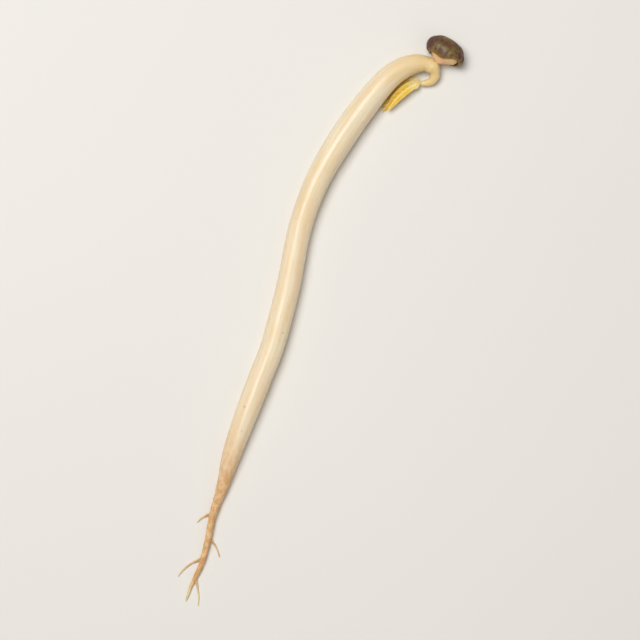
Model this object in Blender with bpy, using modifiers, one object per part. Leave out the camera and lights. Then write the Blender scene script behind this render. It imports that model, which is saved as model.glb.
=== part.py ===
"""Mung bean sprout, lying on its side on a flat surface.

One continuous axis (root, thick white stem, hooked neck, short shoot above the
seed) carries two seed leaves inside a split seed coat, two folded first leaves
and the bud between them.  Metres, +Z up, origin under the middle of the sprout.
"""
import math

import bmesh
import bpy
from mathutils import Matrix, Vector

MM = 0.001

# ---- driving dimensions -------------------------------------------------------------

GAP = 0.3 * MM                     # air left between neighbouring pieces
WELD = 0.002 * MM                  # points of a tube closer than this are one point

# The axis from root tip to shoot tip, in mm: x, y, height of its underside, thickness.
AXIS_ROUTE = [
    (-24.4, -51.1, 0.00, 0.36),    # root tip
    (-23.4, -48.2, 0.00, 0.70),
    (-21.6, -44.4, 0.15, 0.95),
    (-20.4, -40.0, 0.35, 1.15),
    (-19.4, -35.2, 0.20, 1.45),
    (-17.7, -30.2, 0.00, 2.20),    # collar, where root turns into stem
    (-15.9, -24.0, 0.00, 3.40),
    (-13.6, -17.6, 0.00, 4.05),
    (-10.9, -10.6, 0.00, 4.30),
    (-8.4, -4.0, 0.00, 4.35),
    (-5.7, 6.4, 0.00, 4.30),
    (-3.6, 16.8, 0.00, 4.35),
    (-0.6, 25.0, 0.00, 4.50),
    (3.2, 31.8, 0.00, 4.70),
    (7.3, 37.8, 0.00, 4.70),
    (11.7, 43.1, 0.05, 4.40),
    (14.5, 45.3, 0.20, 4.00),
    (16.9, 46.3, 0.45, 3.50),      # thick end of the stem
    (19.0, 46.4, 0.75, 2.80),
    (20.4, 45.6, 0.95, 2.20),      # hook, where the seed leaves sit
    (20.8, 44.4, 0.80, 1.75),
    (20.3, 43.4, 0.55, 1.45),
    (19.2, 43.0, 0.40, 1.20),
    (18.1, 42.9, 0.55, 0.90),      # shoot tip, where the first leaves start
]
RINGS_PER_SPAN = 4
AXIS_SIDES = 16

# Side roots: share of the way from root tip to collar, side, length, spread from the root.
SIDE_ROOTS = [
    (0.28, 1, 5.2 * MM, math.radians(48)),
    (0.46, -1, 5.8 * MM, math.radians(56)),
    (0.62, 1, 4.2 * MM, math.radians(62)),
    (0.80, -1, 3.4 * MM, math.radians(66)),
]
COLLAR = 5                         # place of the collar in AXIS_ROUTE
SIDE_ROOT_THICKNESS = 0.48 * MM
SIDE_ROOT_TIP_SHARE = 0.45         # tip thickness as a share of the base thickness
SIDE_ROOT_DROP_SHARE = 1 / 3       # share of its length over which it comes down to the ground
SIDE_ROOT_BEND_BACK = 0.6          # share of its spread that it loses again by its tip
SIDE_ROOT_RINGS = 12
SIDE_ROOT_SIDES = 8

# The seed: two seed leaves stacked one above the other, in a coat that split at the hook.
# Its own X points away from the hook, its Y along the bean, its Z up.
SEED_CENTRE = Vector((22.6, 48.5, 2.65)) * MM
SEED_DIRECTION = math.radians(57)  # of its X, in plan
SEED_LEAF_DEPTH = 4.2 * MM
SEED_LEAF_LENGTH = 6.0 * MM
SEED_LEAF_THICKNESS = 1.9 * MM
SEED_LEAF_RIM = 0.15 * MM          # from the middle of the seed to a seed leaf's rim
SEED_LEAF_INNER_DOME = 0.08        # bulge of its inner face, as a share of its thickness
SEED_LEAF_HEEL = 0.10 * MM         # how far the attached spot is drawn out
SEED_LEAF_HEEL_SPREAD = 0.35       # width of that spot, as a share of half the length
COAT_THICKNESS = 0.25 * MM
COAT_END_SLACK = 0.7 * MM          # air inside each end of the bean; elsewhere it is GAP
COAT_SEGMENTS = 24
COAT_RINGS = 14
COAT_MOUTH = math.radians(128)     # polar angle of the rim, from the closed side
COAT_TEARS = [(1, 0.06, 1.5), (3, 0.02, 2.1), (5, 0.03, 0.6)]   # waves, depth, phase
COAT_NOTCH_TURN = math.radians(140)   # where the rim is torn in deepest, around the seed
COAT_NOTCH_SPREAD = math.radians(28)
COAT_NOTCH_DEPTH = math.radians(26)

# First leaves: midrib route in mm (x, y, z), then blade sizes.
LOWER_LEAF_ROUTE = [
    (17.1, 43.4, 0.36), (15.8, 42.6, 0.24), (13.7, 40.9, 0.20),
    (12.1, 39.0, 0.20), (11.3, 37.8, 0.30),
]
UPPER_LEAF_ROUTE = [
    (17.4, 42.4, 1.58), (16.0, 42.0, 1.26), (14.1, 40.4, 1.18),
    (12.9, 38.9, 1.18), (12.3, 37.8, 1.34),
]
LOWER_LEAF_FOLD = math.radians(9)  # each half rises this much from the midrib
UPPER_LEAF_FOLD = math.radians(36)
LEAF_ROLL = math.radians(7)        # outer edge up
LEAF_HALF_WIDTH = 1.15 * MM
LEAF_STALK_HALF_WIDTH = 0.32 * MM
LEAF_TIP_HALF_WIDTH = 0.12 * MM
LEAF_THICKNESS = 0.28 * MM
LEAF_BROAD_PLACE = 0.85            # below 1 the broadest place is nearer the stalk
LEAF_FULLNESS = 0.9                # below 1 the blade's outline is fuller
LEAF_FOLD_EASE = 0.5               # how soon the fold opens from the stalk and from the tip
LEAF_ROWS = 16
LEAF_COLUMNS = 6

BUD_LENGTH = 1.0 * MM
BUD_WIDTH = 0.4 * MM
BUD_POINT = 0.55                   # share of its width that it loses towards its tip


# ---- shared helpers -----------------------------------------------------------------

def material(name, colour, roughness):
    """A plain Principled material."""
    finish = bpy.data.materials.new(name)
    finish.use_nodes = True
    shader = finish.node_tree.nodes["Principled BSDF"]
    shader.inputs["Base Color"].default_value = (*colour, 1.0)
    shader.inputs["Roughness"].default_value = roughness
    shader.inputs["Metallic"].default_value = 0.0
    return finish


def add_object(name, mesh, finish):
    """Put a finished mesh in the sprout's collection under its own name."""
    mesh.name = name
    mesh.materials.clear()
    mesh.materials.append(finish)
    mesh.shade_smooth()
    piece = bpy.data.objects.new(name, mesh)
    bpy.data.collections["mung_bean_sprout"].objects.link(piece)
    return piece


def spline_value(p0, p1, p2, p3, t):
    """Catmull-Rom value between p1 and p2, on tuples of any length."""
    return tuple(
        0.5 * (2 * b + (c - a) * t + (2 * a - 5 * b + 4 * c - d) * t * t
               + (3 * b - a - 3 * c + d) * t ** 3)
        for a, b, c, d in zip(p0, p1, p2, p3))


def smooth_route(points, per_span):
    """Points on a smooth curve through a route, the same number in every span."""
    first = tuple(2 * a - b for a, b in zip(points[0], points[1]))
    last = tuple(2 * a - b for a, b in zip(points[-1], points[-2]))
    padded = [first, *points, last]
    curve = []
    for span in range(len(points) - 1):
        for step in range(per_span):
            curve.append(spline_value(*padded[span:span + 4], step / per_span))
    curve.append(points[-1])
    return curve


def tube_mesh(name, points, radii, sides):
    """A closed tube along points, made by a bevelled curve and turned into a mesh."""
    data = bpy.data.curves.new(name, "CURVE")
    data.dimensions = "3D"
    data.twist_mode = "Z_UP"
    data.bevel_depth = 1.0
    data.bevel_resolution = (sides - 4) // 2
    data.use_fill_caps = True
    spline = data.splines.new("POLY")
    spline.points.add(len(points) - 1)
    for knot, place, radius in zip(spline.points, points, radii):
        knot.co = (*place, 1.0)
        knot.radius = radius
    curve = bpy.data.objects.new(name, data)
    bpy.context.scene.collection.objects.link(curve)
    bpy.context.view_layer.update()
    evaluated = curve.evaluated_get(bpy.context.evaluated_depsgraph_get())
    mesh = bpy.data.meshes.new_from_object(evaluated)
    bpy.data.objects.remove(curve)
    bm = bmesh.new()
    bm.from_mesh(mesh)
    bmesh.ops.remove_doubles(bm, verts=bm.verts, dist=WELD)
    bmesh.ops.recalc_face_normals(bm, faces=bm.faces)
    bm.to_mesh(mesh)
    bm.free()
    return mesh


def bmesh_to_mesh(name, bm):
    """Turn a shaped bmesh into a mesh whose faces point out."""
    bm.normal_update()
    bmesh.ops.recalc_face_normals(bm, faces=bm.faces)
    mesh = bpy.data.meshes.new(name)
    bm.to_mesh(mesh)
    bm.free()
    return mesh


def rest_on_ground(mesh):
    """Flatten whatever reaches below the surface that the sprout lies on."""
    for vertex in mesh.vertices:
        vertex.co.z = max(vertex.co.z, 0.0)


# ---- stem and roots -----------------------------------------------------------------

def axis_points():
    """Centre line and radii of the whole axis, from root tip to shoot tip."""
    sag = math.cos(2 * math.pi / AXIS_SIDES)
    points = []
    radii = []
    for x, y, underside, thickness in smooth_route(AXIS_ROUTE, RINGS_PER_SPAN):
        radius = thickness / 2
        points.append(Vector((x, y, underside + radius * sag)) * MM)
        radii.append(radius * MM)
    return points, radii


def side_root_mesh(number, points):
    """One side root: it leaves the root's middle, drops to the ground and bends back."""
    share, side, length, spread = SIDE_ROOTS[number]
    start = round(share * COLLAR * RINGS_PER_SPAN)
    towards_tip = (points[start - 1] - points[start]).normalized()
    heading = math.atan2(towards_tip.y, towards_tip.x) + side * spread
    radius = SIDE_ROOT_THICKNESS / 2
    place = points[start].copy()
    route = []
    thicknesses = []
    for ring in range(SIDE_ROOT_RINGS + 1):
        t = ring / SIDE_ROOT_RINGS
        own_radius = radius * (1 + (SIDE_ROOT_TIP_SHARE - 1) * t)
        drop = max(0.0, 1 - t / SIDE_ROOT_DROP_SHARE)
        place.z = own_radius + (points[start].z - own_radius) * drop
        route.append(place.copy())
        thicknesses.append(own_radius)
        bend = heading - side * spread * SIDE_ROOT_BEND_BACK * t
        place += Vector((math.cos(bend), math.sin(bend), 0)) * (length / SIDE_ROOT_RINGS)
    return tube_mesh(f"side_root_{number}", route, thicknesses, SIDE_ROOT_SIDES)


def make_stem_with_root(finish):
    """The axis with its side roots grown onto it, as one solid."""
    points, radii = axis_points()
    mesh = tube_mesh("axis", points, radii, AXIS_SIDES)
    rest_on_ground(mesh)
    stem = add_object("stem_with_root", mesh, finish)
    for number in range(len(SIDE_ROOTS)):
        side_mesh = side_root_mesh(number, points)
        rest_on_ground(side_mesh)
        side_root = bpy.data.objects.new(f"side_root_{number}", side_mesh)
        bpy.data.collections["cutters"].objects.link(side_root)
        side_root.hide_render = True
        side_root.display_type = "WIRE"
        union = stem.modifiers.new(f"side_root_{number}", "BOOLEAN")
        union.operation = "UNION"
        union.solver = "EXACT"
        union.object = side_root
    return stem


# ---- seed leaves and seed coat --------------------------------------------------------

def seed_frame():
    """Matrix from the seed's own axes (length along X) to its place beside the hook."""
    return Matrix.Translation(SEED_CENTRE) @ Matrix.Rotation(SEED_DIRECTION, 4, "Z")


def make_seed_leaf(name, side, finish):
    """A half bean: domed outside, nearly flat inside, with a heel towards the hook."""
    bm = bmesh.new()
    bmesh.ops.create_uvsphere(bm, u_segments=22, v_segments=14, radius=1.0)
    for vertex in bm.verts:
        x, y, z = vertex.co
        dish = 1 - x * x - y * y
        height = max(z, 0.0) + min(z, 0.0) * SEED_LEAF_INNER_DOME * max(dish, 0.0)
        heel = SEED_LEAF_HEEL * max(0.0, -x) * math.exp(-(y / SEED_LEAF_HEEL_SPREAD) ** 2)
        vertex.co = (
            x * SEED_LEAF_DEPTH / 2 - heel,
            y * SEED_LEAF_LENGTH / 2,
            side * (2 * SEED_LEAF_RIM + height * (SEED_LEAF_THICKNESS - SEED_LEAF_RIM)),
        )
    bm.transform(seed_frame())
    return add_object(name, bmesh_to_mesh(name, bm), finish)


def coat_rim(turn):
    """Polar angle of the coat's torn rim, at an angle around the seed."""
    tears = sum(depth * math.sin(waves * turn + phase) for waves, depth, phase in COAT_TEARS)
    away = math.remainder(turn - COAT_NOTCH_TURN, 2 * math.pi) / COAT_NOTCH_SPREAD
    return COAT_MOUTH * (1 + tears) - COAT_NOTCH_DEPTH * math.exp(-away * away)


def make_seed_coat(finish):
    """A thin torn cup over the outer side of the seed leaves, open towards the hook."""
    half_depth = SEED_LEAF_DEPTH / 2 + GAP + COAT_THICKNESS
    half_length = SEED_LEAF_LENGTH / 2 + COAT_END_SLACK + COAT_THICKNESS
    half_height = SEED_CENTRE.z
    bm = bmesh.new()
    bmesh.ops.create_uvsphere(
        bm, u_segments=COAT_SEGMENTS, v_segments=COAT_RINGS, radius=1.0)
    open_pole = min(bm.verts, key=lambda vertex: vertex.co.z)
    bmesh.ops.delete(bm, geom=[open_pole], context="VERTS")
    last_ring = math.pi * (1 - 1 / COAT_RINGS)
    for vertex in bm.verts:
        turn = math.atan2(vertex.co.y, vertex.co.x)
        polar = math.acos(max(-1.0, min(1.0, vertex.co.z)))
        polar *= coat_rim(turn) / last_ring
        ring = math.sin(polar)
        vertex.co = (
            math.cos(polar) * half_depth,
            ring * math.cos(turn) * half_length,
            ring * math.sin(turn) * half_height,
        )
    bm.transform(seed_frame())
    coat = add_object("seed_coat", bmesh_to_mesh("seed_coat", bm), finish)
    shell = coat.modifiers.new("shell", "SOLIDIFY")
    shell.thickness = COAT_THICKNESS
    shell.offset = -1.0
    return coat


# ---- first leaves and bud -------------------------------------------------------------

def leaf_half_width(t):
    """Half width of a blade at a share of its length: stalk, lance shape, point."""
    swell = max(0.0, math.sin(math.pi * t ** LEAF_BROAD_PLACE)) ** LEAF_FULLNESS
    edge = LEAF_STALK_HALF_WIDTH + (LEAF_TIP_HALF_WIDTH - LEAF_STALK_HALF_WIDTH) * t
    return edge + (LEAF_HALF_WIDTH - edge) * swell


def make_leaf(name, route, fold_angle, finish):
    """A blade folded along its midrib, lying along a route, its outer edge rolled up."""
    midrib = smooth_route(route, LEAF_ROWS // (len(route) - 1))
    bm = bmesh.new()
    bmesh.ops.create_grid(bm, x_segments=LEAF_ROWS, y_segments=LEAF_COLUMNS, size=1.0)
    for vertex in bm.verts:
        row = round((vertex.co.x + 1) / 2 * LEAF_ROWS)
        across = vertex.co.y
        before = Vector(midrib[max(row - 1, 0)])
        after = Vector(midrib[min(row + 1, LEAF_ROWS)])
        along = (after - before).normalized()
        level = Vector((-along.y, along.x, 0)).normalized()
        sideways = Matrix.Rotation(LEAF_ROLL, 3, along) @ level
        upwards = along.cross(sideways)
        half_width = leaf_half_width(row / LEAF_ROWS)
        fold = fold_angle * max(0.0, math.sin(math.pi * row / LEAF_ROWS)) ** LEAF_FOLD_EASE
        reach = across * half_width
        vertex.co = (
            Vector(midrib[row]) * MM
            + sideways * reach * math.cos(fold)
            + upwards * abs(reach) * math.sin(fold))
    leaf = add_object(name, bmesh_to_mesh(name, bm), finish)
    blade = leaf.modifiers.new("blade", "SOLIDIFY")
    blade.thickness = LEAF_THICKNESS
    blade.offset = 0.0
    return leaf


def make_leaf_bud(finish):
    """The small pointed bud between the two leaf stalks."""
    x, y, underside, thickness = AXIS_ROUTE[-1]
    tip = Vector((x, y, underside + thickness / 2)) * MM
    bm = bmesh.new()
    bmesh.ops.create_uvsphere(bm, u_segments=12, v_segments=8, radius=1.0)
    for vertex in bm.verts:
        point = 1 - BUD_POINT * max(0.0, -vertex.co.x)
        vertex.co.x *= BUD_LENGTH / 2
        vertex.co.y *= BUD_WIDTH / 2 * point
        vertex.co.z *= BUD_WIDTH / 2 * point
    bmesh.ops.translate(bm, verts=bm.verts, vec=tip + Vector((-GAP - BUD_LENGTH / 2, 0, 0)))
    return add_object("leaf_bud", bmesh_to_mesh("leaf_bud", bm), finish)


# ---- assembly -------------------------------------------------------------------------

def main():
    for old in list(bpy.data.objects):
        bpy.data.objects.remove(old)
    for name in ("mung_bean_sprout", "cutters"):
        group = bpy.data.collections.new(name)
        bpy.context.scene.collection.children.link(group)
    stem_white = material("stem_white", (0.84, 0.72, 0.50), 0.38)
    seed_leaf_cream = material("seed_leaf_cream", (0.90, 0.68, 0.32), 0.50)
    coat_olive = material("coat_olive", (0.20, 0.13, 0.04), 0.55)
    leaf_yellow = material("leaf_yellow", (0.80, 0.55, 0.09), 0.45)
    make_stem_with_root(stem_white)
    make_seed_leaf("seed_leaf_lower", -1, seed_leaf_cream)
    make_seed_leaf("seed_leaf_upper", 1, seed_leaf_cream)
    make_seed_coat(coat_olive)
    make_leaf("first_leaf_lower", LOWER_LEAF_ROUTE, LOWER_LEAF_FOLD, leaf_yellow)
    make_leaf("first_leaf_upper", UPPER_LEAF_ROUTE, UPPER_LEAF_FOLD, leaf_yellow)
    make_leaf_bud(leaf_yellow)


main()
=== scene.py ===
"""Looks of a mung bean sprout lying on a pale table, seen from straight above.

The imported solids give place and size.  Each of them is replaced by a finer mesh
of the same organ, with a procedural finish of its own.
"""
import math

import bpy
import bmesh
import numpy as np
from mathutils import Matrix, Vector, noise


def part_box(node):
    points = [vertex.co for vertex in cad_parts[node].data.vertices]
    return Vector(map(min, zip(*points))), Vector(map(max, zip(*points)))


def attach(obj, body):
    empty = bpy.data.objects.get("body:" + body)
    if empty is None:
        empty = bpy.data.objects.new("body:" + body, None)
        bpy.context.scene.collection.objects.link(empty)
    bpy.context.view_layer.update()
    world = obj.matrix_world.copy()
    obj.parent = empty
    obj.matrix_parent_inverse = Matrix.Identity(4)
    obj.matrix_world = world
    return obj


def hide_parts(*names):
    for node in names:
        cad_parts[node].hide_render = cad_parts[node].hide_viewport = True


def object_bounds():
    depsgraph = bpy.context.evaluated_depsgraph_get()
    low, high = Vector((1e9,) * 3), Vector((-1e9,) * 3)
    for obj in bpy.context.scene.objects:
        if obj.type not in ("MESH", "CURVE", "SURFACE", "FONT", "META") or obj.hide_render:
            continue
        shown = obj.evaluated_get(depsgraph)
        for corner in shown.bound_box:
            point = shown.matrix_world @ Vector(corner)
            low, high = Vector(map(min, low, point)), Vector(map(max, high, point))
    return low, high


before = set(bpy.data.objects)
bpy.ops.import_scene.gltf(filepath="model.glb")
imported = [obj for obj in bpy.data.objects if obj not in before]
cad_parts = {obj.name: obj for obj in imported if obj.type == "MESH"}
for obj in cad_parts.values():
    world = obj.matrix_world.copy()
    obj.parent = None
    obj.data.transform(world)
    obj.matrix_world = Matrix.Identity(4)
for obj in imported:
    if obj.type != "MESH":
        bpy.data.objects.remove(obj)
cad_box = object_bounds()

MM = 0.001

# ---- the sprout's own sizes, in mm ------------------------------------------------------

# Axis from root tip to shoot tip: x, y, height of its underside, thickness.
AXIS_ROUTE = [
    (-24.4, -51.1, 0.00, 0.36),
    (-23.4, -48.2, 0.00, 0.70),
    (-21.6, -44.4, 0.15, 0.95),
    (-20.4, -40.0, 0.35, 1.15),
    (-19.4, -35.2, 0.20, 1.45),
    (-17.7, -30.2, 0.00, 2.20),
    (-15.9, -24.0, 0.00, 3.40),
    (-13.6, -17.6, 0.00, 4.05),
    (-10.9, -10.6, 0.00, 4.30),
    (-8.4, -4.0, 0.00, 4.35),
    (-5.7, 6.4, 0.00, 4.30),
    (-3.6, 16.8, 0.00, 4.35),
    (-0.6, 25.0, 0.00, 4.50),
    (3.2, 31.8, 0.00, 4.70),
    (7.3, 37.8, 0.00, 4.70),
    (11.7, 43.1, 0.05, 4.40),
    (14.5, 45.3, 0.20, 4.00),
    (16.9, 46.3, 0.45, 3.50),
    (19.0, 46.4, 0.75, 2.80),
    (20.4, 45.6, 0.95, 2.20),
    (20.8, 44.4, 0.80, 1.75),
    (20.3, 43.4, 0.55, 1.45),
    (19.2, 43.0, 0.40, 1.20),
    (18.1, 42.9, 0.55, 0.90),
]
RINGS_PER_SPAN = 18
STEM_SIDES = 64
SOLID_SIDES = 16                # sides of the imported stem, whose flat underside rests on z = 0
ROOT_TIP_TAPER = 1.6            # length over which the root tip closes
SHOOT_TIP_TAPER = 0.55
COLLAR = 5                      # place of the collar in AXIS_ROUTE
SEED_NODE = 19                  # place in AXIS_ROUTE where the seed leaves grow

# Side roots: share of the way from root tip to collar, side, length, spread from the root.
SIDE_ROOTS = [
    (0.28, 1, 5.2, math.radians(48)),
    (0.46, -1, 5.8, math.radians(56)),
    (0.62, 1, 4.2, math.radians(62)),
    (0.80, -1, 3.4, math.radians(66)),
]
SIDE_ROOT_THICKNESS = 0.44
SIDE_ROOT_THINNING = 0.58       # share of its thickness that a side root loses by its tip
SIDE_ROOT_DROP_SHARE = 1 / 3    # share of its length over which it comes down to the table
SIDE_ROOT_BEND_BACK = 0.6       # share of its spread that it loses again by its tip
SIDE_ROOT_RINGS = 60
SIDE_ROOT_SIDES = 20

# The seed's own X points away from the hook, its Y along the bean, its Z up.
SEED_CENTRE = Vector((22.6, 48.5, 2.65))
SEED_DIRECTION = math.radians(57)
SEED_LEAF_DEPTH = 4.2
SEED_LEAF_LENGTH = 6.0
SEED_LEAF_THICKNESS = 1.9
SEED_LEAF_RINGS = 72
SEED_LEAF_SIDES = 88
SEED_LEAF_HEEL = 0.55           # how far the attached spot reaches into the hook
COAT_THICKNESS = 0.2
COAT_RINGS = 44
COAT_SIDES = 120
COAT_END_SLACK = 0.7
COAT_MOUTH = math.radians(128)
COAT_TEARS = [(1, 0.06, 1.5), (3, 0.02, 2.1), (5, 0.03, 0.6)]
COAT_NOTCH_TURN = math.radians(140)
COAT_NOTCH_SPREAD = math.radians(28)
COAT_NOTCH_DEPTH = math.radians(26)

LOWER_LEAF_ROUTE = [
    (18.3, 43.0, 0.85), (17.3, 43.3, 0.42), (15.8, 42.6, 0.24),
    (13.7, 40.9, 0.20), (12.1, 39.0, 0.20), (11.3, 37.8, 0.30),
]
UPPER_LEAF_ROUTE = [
    (18.3, 42.9, 1.00), (17.4, 42.6, 1.36), (16.0, 42.0, 1.26),
    (14.1, 40.4, 1.18), (12.9, 38.9, 1.18), (12.3, 37.8, 1.34),
]
LOWER_LEAF_FOLD = math.radians(9)
UPPER_LEAF_FOLD = math.radians(36)
LEAF_ROLL = math.radians(7)
LEAF_HALF_WIDTH = 1.13
VEIN_SPACING = 0.95
VEIN_SLOPE = 0.95               # how far a side vein runs forward for each mm outwards
STALK_HALF_WIDTH = 0.30
STALK_SHARE = 0.10              # share of a leaf's length that is stalk
LEAF_RINGS_PER_SPAN = 22
LEAF_LOOP = 56
BUD_RINGS = 28
BUD_SIDES = 28


# ---- shapes ---------------------------------------------------------------------------------

def spline_value(p0, p1, p2, p3, t):
    """Catmull-Rom value between p1 and p2, on tuples of any length."""
    return tuple(
        0.5 * (2 * b + (c - a) * t + (2 * a - 5 * b + 4 * c - d) * t * t
               + (3 * b - a - 3 * c + d) * t ** 3)
        for a, b, c, d in zip(p0, p1, p2, p3))


def smooth_route(points, per_span):
    """Points on a smooth curve through a route, the same number in every span."""
    first = tuple(2 * a - b for a, b in zip(points[0], points[1]))
    last = tuple(2 * a - b for a, b in zip(points[-1], points[-2]))
    padded = [first, *points, last]
    curve = []
    for span in range(len(points) - 1):
        for step in range(per_span):
            curve.append(spline_value(*padded[span:span + 4], step / per_span))
    curve.append(tuple(float(value) for value in points[-1]))
    return curve


def bumps(x, y, z):
    """Smooth noise between about -1 and 1."""
    return noise.noise(Vector((x, y, z)))


def ease(value, low, high):
    """0 below low, 1 above high, smooth between."""
    t = min(1.0, max(0.0, (value - low) / (high - low)))
    return t * t * (3 - 2 * t)


def bell(value, width):
    """1 at zero, falling to nothing a few widths away."""
    return math.exp(-(value / width) ** 2)


def loft(name, rings, grains, rims):
    """A closed smooth mesh through rings of points in mm, with its own surface coordinates."""
    count = len(rings[0])
    points = [point for ring in rings for point in ring]
    grain = [value for ring in grains for value in ring]
    rim = [value for ring in rims for value in ring]
    faces = []
    for row in range(len(rings) - 1):
        for k in range(count):
            a = row * count + k
            b = row * count + (k + 1) % count
            faces.append((a, b, b + count, a + count))
    for row, flipped in ((0, True), (len(rings) - 1, False)):
        ends = points[row * count:(row + 1) * count]
        points.append(sum(ends, Vector()) / count)
        grain.append(sum(grain[row * count:(row + 1) * count], Vector()) / count)
        rim.append(rim[row * count])
        for k in range(count):
            a = row * count + k
            b = row * count + (k + 1) % count
            faces.append((b, a, len(points) - 1) if flipped else (a, b, len(points) - 1))
    mesh = bpy.data.meshes.new(name)
    mesh.from_pydata([point * MM for point in points], [], faces)
    mesh.attributes.new("grain", "FLOAT_VECTOR", "POINT").data.foreach_set(
        "vector", np.array(grain, np.float32).ravel())
    mesh.attributes.new("rim", "FLOAT", "POINT").data.foreach_set(
        "value", np.array(rim, np.float32))
    mesh.shade_smooth()
    piece = bpy.data.objects.new(name, mesh)
    bpy.context.scene.collection.objects.link(piece)
    bm = bmesh.new()
    bm.from_mesh(mesh)
    bmesh.ops.recalc_face_normals(bm, faces=bm.faces)
    bm.to_mesh(mesh)
    bm.free()
    return piece


def place_piece(piece, finish, slot, *nodes):
    """Give a piece its finish, hang it under the root body and hide the imported solids it replaces."""
    piece.data.materials.append(finish)
    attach(piece, "root")
    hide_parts(*nodes)
    return piece


# ---- stem and roots -------------------------------------------------------------------------

def axis_stations():
    """Place, tangent, radius and distance from the root tip along the whole axis, in mm."""
    route = smooth_route(AXIS_ROUTE, RINGS_PER_SPAN)
    sag = math.cos(2 * math.pi / SOLID_SIDES)
    places = [Vector((x, y, under + thick / 2 * sag)) for x, y, under, thick in route]
    stations = []
    distance = 0.0
    for index, place in enumerate(places):
        before = places[max(index - 1, 0)]
        after = places[min(index + 1, len(places) - 1)]
        if index:
            distance += (place - before).length
        stations.append((place, (after - before).normalized(), route[index][3] / 2, distance))
    return stations


def cross_axes(along):
    """Level sideways direction and the one above it, square to a direction."""
    sideways = Vector((along.y, -along.x, 0)).normalized()
    return sideways, sideways.cross(along)


def stem_radius(radius, angle, distance, collar, node, end):
    """The axis's own radius with the swellings, flutes and wrinkles of the skin."""
    around = Vector((math.cos(angle), math.sin(angle)))
    root = 1 - ease(distance, collar - 5, collar + 4)
    hook = ease(distance, end - 12, end - 5)
    swelling = 0.030 * bumps(distance / 11, 3.1, 0.7) + 0.012 * bumps(distance / 3.5, 8.2, 1.9)
    flute = 0.034 * bumps(around.x * 1.7, around.y * 1.7, distance / 26 + 5)
    fibre = 0.009 * bumps(around.x * 6, around.y * 6, distance / 9 + 11)
    wrinkle = 0.075 * root * bumps(around.x * 0.9, around.y * 0.9, distance / 0.55)
    knots = 0.12 * root * bumps(0.3, 0.9, distance / 2.1)
    crease = 0.035 * hook * bumps(around.x * 1.2, around.y * 1.2, distance / 0.45)
    joint = 0.16 * bell(distance - node, 0.7) - 0.05 * bell(distance - node - 1.1, 0.3)
    tip = math.sqrt(1 - max(0.0, 1 - distance / ROOT_TIP_TAPER) ** 2)
    tip *= math.sqrt(1 - max(0.0, 1 - (end - distance) / SHOOT_TIP_TAPER) ** 2 * 0.96)
    return radius * tip * (1 + swelling + flute + fibre + wrinkle + knots + crease + joint)


def make_stem(finish):
    """Root, stem, hook and shoot as one skin with flutes, wrinkles and a flattened underside."""
    stations = axis_stations()
    collar = stations[COLLAR * RINGS_PER_SPAN][3]
    node = stations[SEED_NODE * RINGS_PER_SPAN][3]
    end = stations[-1][3]
    rings = []
    grains = []
    rims = []
    for place, along, radius, distance in stations:
        sideways, above = cross_axes(along)
        ring = []
        grain = []
        for k in range(STEM_SIDES):
            angle = 2 * math.pi * k / STEM_SIDES
            reach = stem_radius(radius, angle, distance, collar, node, end)
            point = place + (sideways * math.cos(angle) + above * math.sin(angle)) * reach
            point.z = max(point.z, 0.0)
            ring.append(point)
            grain.append(Vector((distance, radius * math.cos(angle), radius * math.sin(angle))))
        rings.append(ring)
        grains.append(grain)
        rims.append([0.0] * STEM_SIDES)
    return place_piece(
        loft("stem_skin", rings, grains, rims), finish, "stem", "stem_with_root")


def make_side_root(number, finish):
    """A thin side root: flared where it leaves the root, wavy, thinning to its tip."""
    share, side, length, spread = SIDE_ROOTS[number]
    stations = axis_stations()
    start, along, root_radius, distance = stations[round(share * COLLAR * RINGS_PER_SPAN)]
    heading = math.atan2(-along.y, -along.x) + side * spread
    place = start.copy()
    rings = []
    grains = []
    rims = []
    for row in range(SIDE_ROOT_RINGS + 1):
        t = row / SIDE_ROOT_RINGS
        flare = 1 + 0.9 * bell(t * length, root_radius * 1.6)
        lumps = 1 + 0.12 * bumps(t * length / 0.7, number * 3.7, 0.4)
        close = math.sqrt(max(0.0, 1 - max(0.0, (t - 0.96) / 0.04) ** 2)) + 0.02
        plain_radius = SIDE_ROOT_THICKNESS / 2 * (1 - SIDE_ROOT_THINNING * t)
        radius = plain_radius * flare * lumps * close
        drop = max(0.0, 1 - t / SIDE_ROOT_DROP_SHARE)
        place.z = plain_radius + (start.z - plain_radius) * drop
        bend = heading - side * spread * SIDE_ROOT_BEND_BACK * t
        bend += 0.22 * bumps(t * 3.1, number * 5.3, 2.2)
        forward = Vector((math.cos(bend), math.sin(bend), 0))
        sideways, above = cross_axes(forward)
        ring = []
        grain = []
        for k in range(SIDE_ROOT_SIDES):
            angle = 2 * math.pi * k / SIDE_ROOT_SIDES
            point = place + (sideways * math.cos(angle) + above * math.sin(angle)) * radius
            point.z = max(point.z, 0.0)
            ring.append(point)
            grain.append(Vector((
                distance - t * length, radius * math.cos(angle), radius * math.sin(angle))))
        rings.append(ring)
        grains.append(grain)
        rims.append([0.0] * SIDE_ROOT_SIDES)
        place = place + forward * (length / SIDE_ROOT_RINGS)
    return place_piece(
        loft(f"side_root_{number + 1}", rings, grains, rims), finish, "stem", "stem_with_root")


# ---- seed leaves and seed coat ----------------------------------------------------------------

def from_seed(x, y, z):
    """A point in the seed's own axes, length along X, brought to its place in mm."""
    return SEED_CENTRE + Matrix.Rotation(SEED_DIRECTION, 3, "Z") @ Vector((x, y, z))


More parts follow.
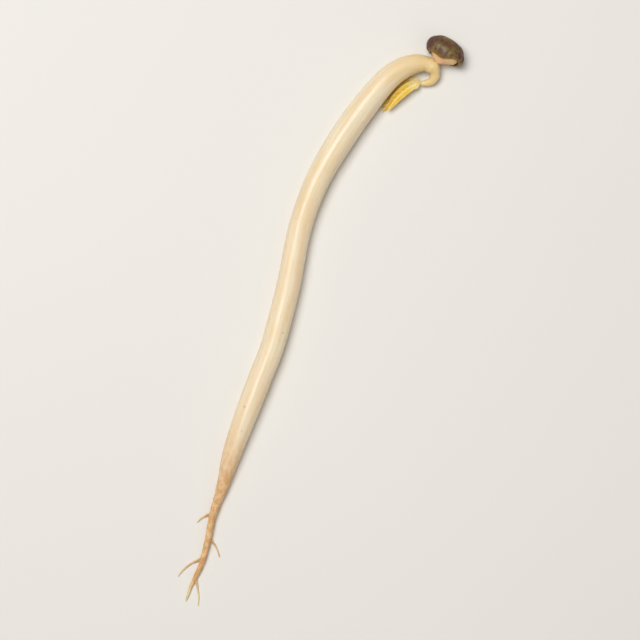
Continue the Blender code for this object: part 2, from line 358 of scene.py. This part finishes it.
def make_seed_leaf(name, node, side, finish):
    """Half a bean: wrinkled dome, slightly domed inner face, and a heel that grows from the hook."""
    rings = []
    grains = []
    rims = []
    for row in range(SEED_LEAF_RINGS + 1):
        turn = math.pi * (0.02 + 0.96 * row / SEED_LEAF_RINGS)
        y = -math.cos(turn)
        ring = []
        grain = []
        rim = []
        for k in range(SEED_LEAF_SIDES):
            angle = 2 * math.pi * k / SEED_LEAF_SIDES
            x = math.sin(turn) * math.cos(angle)
            z = math.sin(turn) * math.sin(angle)
            inner = min(z, 0.0) * 0.12
            heel = SEED_LEAF_HEEL * max(0.0, -x) ** 4 * bell(y, 0.30)
            shrivel = 1 + 0.06 * bumps(x * 1.7, y * 1.7, z * 1.7 + side * 4)
            shrivel += 0.035 * bumps(x * 6, y * 2.0, z * 6 + side * 2)
            lift = 0.30 + (max(z, 0.0) * shrivel + inner) * (SEED_LEAF_THICKNESS - 0.18)
            lift = lift * (1 - 0.5 * max(0.0, -x) ** 4 * bell(y, 0.4))
            ring.append(from_seed(
                (x * SEED_LEAF_DEPTH / 2) * shrivel - heel,
                y * SEED_LEAF_LENGTH / 2 * shrivel,
                side * lift))
            grain.append(Vector((x * 2.0, y * 2.8, z * 1.9 + side * 5)))
            rim.append(1 - abs(z))
        rings.append(ring)
        grains.append(grain)
        rims.append(rim)
    return place_piece(loft(name, rings, grains, rims), finish, "seed_leaf", node)


def coat_rim(turn):
    """Polar angle of the coat's torn rim, at an angle around the seed."""
    tears = sum(depth * math.sin(waves * turn + phase) for waves, depth, phase in COAT_TEARS)
    tears += 0.035 * bumps(math.cos(turn) * 5, math.sin(turn) * 5, 1.3)
    tears += 0.015 * bumps(math.cos(turn) * 14, math.sin(turn) * 14, 4.3)
    away = math.remainder(turn - COAT_NOTCH_TURN, 2 * math.pi) / COAT_NOTCH_SPREAD
    return COAT_MOUTH * (1 + tears) - COAT_NOTCH_DEPTH * math.exp(-away * away)


def coat_point(share, turn, inset):
    """A point on the coat: share 0 at the closed end, 1 at the rim; inset from the outside."""
    polar = share * coat_rim(turn)
    ring = math.sin(polar)
    skin = Vector((math.cos(polar), ring * math.cos(turn), ring * math.sin(turn)))
    folds = 0.08 * bumps(skin.x * 1.3, skin.y * 2.6, skin.z * 2.6)
    folds += 0.07 * share ** 2 * bumps(math.cos(turn) * 4, math.sin(turn) * 4, share * 1.5)
    folds += 0.02 * bumps(skin.x * 6, skin.y * 6, skin.z * 6)
    folds -= 0.10 * share * bell(bumps(math.cos(turn) * 2.2, math.sin(turn) * 2.2, share), 0.07)
    scale = 0.96 + folds * 0.6 - inset
    half_depth = SEED_LEAF_DEPTH / 2 + 0.5
    half_length = SEED_LEAF_LENGTH / 2 + COAT_END_SLACK + COAT_THICKNESS
    return Vector((
        skin.x * half_depth * scale,
        skin.y * half_length * scale,
        skin.z * SEED_CENTRE.z * scale))


def make_seed_coat(finish):
    """A thin wrinkled skin, torn open towards the hook, as one closed surface."""
    shares = [max(0.004, row / COAT_RINGS) for row in range(COAT_RINGS + 1)]
    inset = COAT_THICKNESS / 2.6
    walls = [(share, 0.0) for share in shares]
    walls += [(1.012, inset * 0.25), (1.016, inset * 0.5), (1.012, inset * 0.75)]
    walls += [(share, inset) for share in reversed(shares)]
    rings = []
    grains = []
    rims = []
    for share, depth in walls:
        ring = []
        grain = []
        for k in range(COAT_SIDES):
            turn = 2 * math.pi * k / COAT_SIDES
            spot = coat_point(share, turn, depth)
            ring.append(from_seed(*spot))
            grain.append(Vector(spot))
        rings.append(ring)
        grains.append(grain)
        rims.append([share] * COAT_SIDES)
    return place_piece(
        loft("torn_seed_coat", rings, grains, rims), finish, "seed_coat", "seed_coat")


# ---- first leaves and bud -----------------------------------------------------------------------

def blade_half_width(t):
    """Half width of a first leaf at a share of its length: stalk, lance shape, point."""
    if t < STALK_SHARE:
        return STALK_HALF_WIDTH
    u = (t - STALK_SHARE) / (1 - STALK_SHARE)
    swell = math.sin(math.pi * u ** 0.78) ** 0.85 if u < 1 else 0.0
    edge = STALK_HALF_WIDTH * (1 - u) + 0.03 * u
    return edge + (LEAF_HALF_WIDTH - edge) * max(0.0, swell)


def make_first_leaf(name, node, route, fold_angle, finish):
    """A leaf folded along its midrib, with raised veins below and quilting between them."""
    midrib = [Vector(point) for point in smooth_route(route, LEAF_RINGS_PER_SPAN)]
    rows = len(midrib) - 1
    rings = []
    grains = []
    rims = []
    distance = 0.0
    seed = fold_angle * 9
    for row, place in enumerate(midrib):
        before = midrib[max(row - 1, 0)]
        after = midrib[min(row + 1, rows)]
        distance += (place - before).length
        along = (after - before).normalized()
        level = Vector((-along.y, along.x, 0)).normalized()
        t = row / rows
        sideways = Matrix.Rotation(LEAF_ROLL, 3, along) @ level
        above = along.cross(sideways)
        half_width = blade_half_width(t)
        blade = ease(t, 0.12, 0.3)
        fold = fold_angle * blade
        ring = []
        grain = []
        rim = []
        for k in range(LEAF_LOOP):
            turn = 2 * math.pi * k / LEAF_LOOP
            across = -math.cos(turn)
            face = math.sin(turn)
            width = abs(across) * half_width
            waviness = 0.10 * blade * across ** 2 * bumps(distance / 1.7, across * 0.8, seed)
            vein = distance - width * VEIN_SLOPE
            offset = vein / VEIN_SPACING - math.floor(vein / VEIN_SPACING) - 0.5
            quilt = 0.035 * blade * math.cos(2 * math.pi * offset) * (1 - across ** 4)
            ridge = 0.16 * (1 - 0.75 * t) * bell(width, 0.16)
            thick = 0.075 + 0.16 * (1 - blade) + ridge
            lift = width * math.sin(fold) + waviness - quilt * blade
            lift += face * thick
            ring.append(
                place + sideways * (across * half_width * math.cos(fold)) + above * lift)
            grain.append(Vector((distance, across * half_width, face)))
            rim.append(abs(across))
        rings.append(ring)
        grains.append(grain)
        rims.append(rim)
    return place_piece(loft(name, rings, grains, rims), finish, "first_leaf", node)


def make_bud(finish):
    """The pointed growing tip between the two stalks, with two small scales."""
    low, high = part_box("leaf_bud")
    centre = (low + high) / 2 / MM
    half_length = (high.x - low.x) / 2 / MM
    half_width = (high.y - low.y) / 2 / MM
    rings = []
    grains = []
    rims = []
    for row in range(BUD_RINGS + 1):
        turn = math.pi * (0.02 + 0.96 * row / BUD_RINGS)
        x = math.cos(turn)
        ring = []
        for k in range(BUD_SIDES):
            angle = 2 * math.pi * k / BUD_SIDES
            point = 1 - 0.5 * max(0.0, -x)
            scale = 1 + 0.12 * math.sin(2 * angle) * max(0.0, -x)
            reach = half_width * math.sin(turn) * point * scale
            ring.append(centre + Vector((
                x * half_length, reach * math.cos(angle), reach * math.sin(angle))))
        rings.append(ring)
        grains.append([point - centre for point in ring])
        rims.append([0.0] * BUD_SIDES)
    return place_piece(loft("growing_tip", rings, grains, rims), finish, "first_leaf", "leaf_bud")


# ---- finishes -------------------------------------------------------------------------------------

def tint(red, green, blue):
    """A colour given in everyday 0 to 255 steps, as linear light."""
    steps = (value / 255 for value in (red, green, blue))
    return tuple(v / 12.92 if v <= 0.04045 else ((v + 0.055) / 1.055) ** 2.4 for v in steps)


class Wire:
    """A value in a finish: arithmetic on it adds Math nodes."""

    def __init__(self, finish, socket):
        self.finish = finish
        self.socket = socket

    def math(self, operation, *values):
        return self.finish.add("ShaderNodeMath", {"operation": operation}, dict(enumerate(values)))

    def __add__(self, other):
        return self.math("ADD", self, other)

    __radd__ = __add__

    def __sub__(self, other):
        return self.math("SUBTRACT", self, other)

    def __rsub__(self, other):
        return self.math("SUBTRACT", other, self)

    def __mul__(self, other):
        return self.math("MULTIPLY", self, other)

    __rmul__ = __mul__

    def __truediv__(self, other):
        return self.math("DIVIDE", self, other)

    def __pow__(self, other):
        return self.math("POWER", self, other)

    def __abs__(self):
        return self.math("ABSOLUTE", self)

    def fraction(self):
        return self.math("FRACT", self)


class Finish:
    """One procedural material. Fixed values sit on the shader's own sockets."""

    def __init__(self, name, fixed):
        self.material = bpy.data.materials.new(name)
        self.material.use_nodes = True
        self.tree = self.material.node_tree
        self.shader = self.tree.nodes["Principled BSDF"]
        for socket, value in fixed.items():
            self.shader.inputs[socket].default_value = value

    def feed(self, socket, value):
        """Link a wire to a socket, or set a plain number or colour on it."""
        if isinstance(value, Wire):
            self.tree.links.new(value.socket, socket)
        elif isinstance(value, tuple) and len(socket.default_value) == 4:
            socket.default_value = (*value, 1.0)
        else:
            socket.default_value = value

    def add(self, kind, settings, sockets, output=0):
        """Any node: its type, its settings, its sockets' values or links, and one output."""
        node = self.tree.nodes.new(kind)
        for key, value in settings.items():
            setattr(node, key, value)
        for socket, value in sockets.items():
            self.feed(node.inputs[socket], value)
        return Wire(self, node.outputs[output])

    def grain(self):
        """The piece's own straightened coordinates, in mm."""
        return self.add("ShaderNodeAttribute", {"attribute_name": "grain"}, {}, "Vector")

    def rim(self):
        return self.add("ShaderNodeAttribute", {"attribute_name": "rim"}, {}, "Fac")

    def axis(self, vector, name):
        return self.add("ShaderNodeSeparateXYZ", {}, {0: vector}, name)

    def stretch(self, vector, scale):
        """Coordinates stretched by a scale for each axis."""
        return self.add(
            "ShaderNodeVectorMath", {"operation": "MULTIPLY"}, {0: vector, 1: scale})

    def cloud(self, vector, scale, detail=3.0, roughness=0.5, distortion=0.0):
        return self.add("ShaderNodeTexNoise", {}, {
            "Vector": vector, "Scale": scale, "Detail": detail,
            "Roughness": roughness, "Distortion": distortion}, "Fac")

    def smooth(self, value, low, high):
        """0 below low, 1 above high, smooth between; low above high turns it round."""
        return self.add("ShaderNodeMapRange", {"interpolation_type": "SMOOTHSTEP"}, {
            "Value": value, "From Min": low, "From Max": high})

    def blend(self, amount, first, second):
        """First colour turning into the second by an amount."""
        return self.add("ShaderNodeMix", {"data_type": "RGBA"}, {
            0: amount, 6: first, 7: second}, 2)

    def finish(self, colour, roughness, height, depth, coat=None):
        """Join colour, roughness and relief to the shader; depth is in mm."""
        relief = self.add("ShaderNodeBump", {}, {
            "Strength": 1.0, "Distance": depth * MM, "Height": height})
        self.feed(self.shader.inputs["Base Color"], colour)
        self.feed(self.shader.inputs["Roughness"], roughness)
        self.feed(self.shader.inputs["Normal"], relief)
        if coat is not None:
            self.feed(self.shader.inputs["Coat Weight"], coat)
        return self.material


def stem_finish(collar, end):
    """Moist cream skin, tan towards the root, warmer at the hook, with streaks and bruises."""
    skin = Finish("moist_stem_skin", {
        "Subsurface Weight": 0.45,
        "Subsurface Radius": (1.0, 0.62, 0.34),
        "Subsurface Scale": 0.0011,
        "Coat Roughness": 0.16,
        "IOR": 1.42,
    })
    grain = skin.grain()
    distance = skin.axis(grain, "X")
    streaks = skin.cloud(skin.stretch(grain, (0.07, 1.3, 1.3)), 1.0, 4.0, 0.6)
    patches = skin.cloud(skin.stretch(grain, (0.16, 0.35, 0.35)), 1.0, 2.0)
    specks = skin.cloud(skin.stretch(grain, (0.9, 1.4, 1.4)), 1.0, 3.0, 0.6)
    fibres = skin.cloud(skin.stretch(grain, (0.5, 7.0, 7.0)), 1.0, 3.0, 0.6)
    pores = skin.cloud(grain, 9.0, 2.0)
    wander = (patches - 0.5) * 9
    cream = skin.blend(skin.smooth(streaks, 0.34, 0.66), tint(243, 220, 182), tint(250, 235, 208))
    cream = skin.blend(skin.smooth(patches, 0.46, 0.74) * 0.35, cream, tint(240, 212, 164))
    hook = skin.smooth(distance + wander, end - 17, end - 4)
    cream = skin.blend(hook * 0.75, cream, tint(240, 209, 140))
    root = skin.smooth(distance + wander, collar + 13, collar - 3)
    tan = skin.blend(skin.smooth(specks, 0.38, 0.66), tint(216, 168, 112), tint(238, 203, 156))
    colour = skin.blend(root, cream, tan)
    tip = skin.smooth(distance, 5.0, 1.0)
    colour = skin.blend(tip * 0.7, colour, tint(244, 222, 184))
    bruise = skin.smooth(specks, 0.66, 0.76) * 0.5
    colour = skin.blend(bruise, colour, tint(196, 142, 84))
    roughness = 0.34 + fibres * 0.14 + root * 0.2
    height = fibres * 0.7 + pores * 0.3
    coat = 0.30 - root * 0.22
    return skin.finish(colour, roughness, height, 0.05, coat)


def seed_leaf_finish():
    """Soft pale yellow flesh, clouded with pinkish cream and flecked with brown specks."""
    flesh = Finish("seed_leaf_flesh", {
        "Subsurface Weight": 0.35,
        "Subsurface Radius": (1.0, 0.6, 0.25),
        "Subsurface Scale": 0.0008,
    })
    grain = flesh.grain()
    clouds = flesh.cloud(grain, 0.7, 4.0, 0.6)
    specks = flesh.cloud(grain, 3.2, 3.0, 0.6)
    colour = flesh.blend(flesh.smooth(clouds, 0.35, 0.65), tint(250, 212, 148), tint(240, 196, 150))
    colour = flesh.blend(flesh.smooth(specks, 0.58, 0.75) * 0.5, colour, tint(206, 150, 84))
    roughness = 0.42 + specks * 0.2
    return flesh.finish(colour, roughness, clouds * 0.6 + specks * 0.4, 0.10)


def seed_coat_finish():
    """Thin dry skin, olive green turning to purple brown, paler where it tore."""
    skin = Finish("seed_coat_skin", {"Coat Roughness": 0.3, "IOR": 1.5})
    grain = skin.grain()
    clouds = skin.cloud(grain, 0.42, 4.0, 0.6)
    mottle = skin.cloud(grain, 2.6, 4.0, 0.65)
    wrinkles = skin.cloud(skin.stretch(grain, (0.8, 2.6, 2.6)), 1.0, 4.0, 0.6, 0.4)
    colour = skin.blend(skin.smooth(clouds, 0.36, 0.62), tint(128, 106, 46), tint(92, 54, 40))
    streaks = skin.cloud(skin.stretch(grain, (1.6, 0.5, 1.6)), 1.0, 3.0, 0.6)
    colour = skin.blend(skin.smooth(streaks, 0.52, 0.7) * 0.55, colour, tint(141, 104, 58))
    colour = skin.blend(skin.smooth(mottle, 0.45, 0.7) * 0.6, colour, tint(58, 26, 20))
    worn = skin.smooth(skin.rim() + (mottle - 0.5) * 0.25, 0.88, 1.0)
    colour = skin.blend(worn * 0.6, colour, tint(160, 118, 62))
    roughness = 0.38 + mottle * 0.3
    return skin.finish(colour, roughness, wrinkles * 0.7 + mottle * 0.3, 0.12, 0.15 + mottle * 0.2)


def first_leaf_finish():
    """Bright yellow blade, paler at the margins and along its veins."""
    blade = Finish("first_leaf_blade", {
        "Subsurface Weight": 0.25,
        "Subsurface Radius": (0.9, 0.7, 0.15),
        "Subsurface Scale": 0.0006,
        "Sheen Weight": 0.15,
        "Sheen Roughness": 0.5,
    })
    grain = blade.grain()
    along = blade.axis(grain, "X")
    across = abs(blade.axis(grain, "Y"))
    rim = blade.rim()
    clouds = blade.cloud(grain, 0.8, 3.0)
    fine = blade.cloud(grain, 6.0, 3.0, 0.6)
    vein_place = (along - across * VEIN_SLOPE) / VEIN_SPACING + (clouds - 0.5) * 0.25
    side_vein = blade.smooth(abs(vein_place.fraction() - 0.5), 0.40, 0.5)
    midrib = blade.smooth(across, 0.22, 0.04)
    stalk = blade.smooth(along, 3.0, 1.2)
    colour = blade.blend(blade.smooth(clouds, 0.35, 0.65), tint(229, 180, 50), tint(240, 200, 78))
    colour = blade.blend(blade.smooth(rim, 0.72, 0.98) * 0.7, colour, tint(248, 228, 152))
    colour = blade.blend(side_vein * 0.35, colour, tint(249, 226, 136))
    colour = blade.blend(midrib * 0.7, colour, tint(248, 230, 158))
    colour = blade.blend(stalk, colour, tint(240, 218, 150))
    roughness = 0.40 + fine * 0.2
    return blade.finish(colour, roughness, fine * 0.5 + side_vein * 0.5, 0.04)


def floor_finish():
    """Plain pale table top with a faint unevenness."""
    top = Finish("pale_table", {})
    place = top.add("ShaderNodeTexCoord", {}, {}, "Object")
    clouds = top.cloud(place, 9.0, 2.0)
    colour = top.blend(clouds, tint(236, 235, 232), tint(240, 239, 236))
    return top.finish(colour, 0.62 + clouds * 0.06, clouds, 0.02)


# ---- stage ------------------------------------------------------------------------------------------

TABLE_WIDTH = 3.0               # in metres, as everything in this section
TABLE_DROP = 0.00002            # keeps the table from touching the flat underside of the stem
LENS = 120.0
SENSOR_WIDTH = 36.0
FRAME_MARGIN = 1.12             # height of the view as a share of the sprout's length

def make_stage():
    """Pale table, one large soft light above to the left, a warm fill light and the camera."""
    half = TABLE_WIDTH / 2
    corners = [(-half, -half), (half, -half), (half, half), (-half, half)]
    mesh = bpy.data.meshes.new("table_top")
    mesh.from_pydata([(x, y, -TABLE_DROP) for x, y in corners], [], [(0, 1, 2, 3)])
    floor = bpy.data.objects.new("table_top", mesh)
    floor.data.materials.append(floor_finish())
    bpy.context.scene.collection.objects.link(floor)

    for name, place, size, power, colour in (
            ("window", (-0.15, 0.15, 0.58), 0.34, 2.95, (1.0, 0.99, 0.97)),
            ("fill", (0.45, -0.25, 0.50), 0.6, 0.6, (1.0, 0.90, 0.76))):
        lamp = bpy.data.lights.new(name, "AREA")
        lamp.size = size
        lamp.energy = power
        lamp.color = colour
        light = bpy.data.objects.new(name, lamp)
        light.location = place
        light.rotation_euler = (-Vector(place)).to_track_quat("-Z", "Y").to_euler()
        bpy.context.scene.collection.objects.link(light)

    world = bpy.data.worlds.new("soft_room")
    world.use_nodes = True
    world.node_tree.nodes["Background"].inputs["Color"].default_value = (1.0, 0.95, 0.88, 1)
    world.node_tree.nodes["Background"].inputs["Strength"].default_value = 0.22
    bpy.context.scene.world = world
    bpy.context.scene.view_settings.view_transform = "Standard"

    low, high = cad_box
    middle = (low + high) / 2
    camera = bpy.data.cameras.new("camera")
    camera.lens = LENS
    camera.sensor_width = SENSOR_WIDTH
    camera.clip_start = 0.01
    span = (high.y - low.y) * FRAME_MARGIN
    viewer = bpy.data.objects.new("camera", camera)
    viewer.location = (middle.x, middle.y, middle.z + span * LENS / SENSOR_WIDTH)
    bpy.context.scene.collection.objects.link(viewer)
    bpy.context.scene.camera = viewer


# ---- assembly -----------------------------------------------------------------------------------------

def main():
    make_stage()
    stations = axis_stations()
    skin = stem_finish(stations[COLLAR * RINGS_PER_SPAN][3], stations[-1][3])
    flesh = seed_leaf_finish()
    blade = first_leaf_finish()
    make_stem(skin)
    for number in range(len(SIDE_ROOTS)):
        make_side_root(number, skin)
    make_seed_leaf("lower_seed_leaf", "seed_leaf_lower", -1, flesh)
    make_seed_leaf("upper_seed_leaf", "seed_leaf_upper", 1, flesh)
    make_seed_coat(seed_coat_finish())
    make_first_leaf(
        "lower_first_leaf", "first_leaf_lower", LOWER_LEAF_ROUTE, LOWER_LEAF_FOLD, blade)
    make_first_leaf(
        "upper_first_leaf", "first_leaf_upper", UPPER_LEAF_ROUTE, UPPER_LEAF_FOLD, blade)
    make_bud(blade)


main()
bpy.context.view_layer.update()
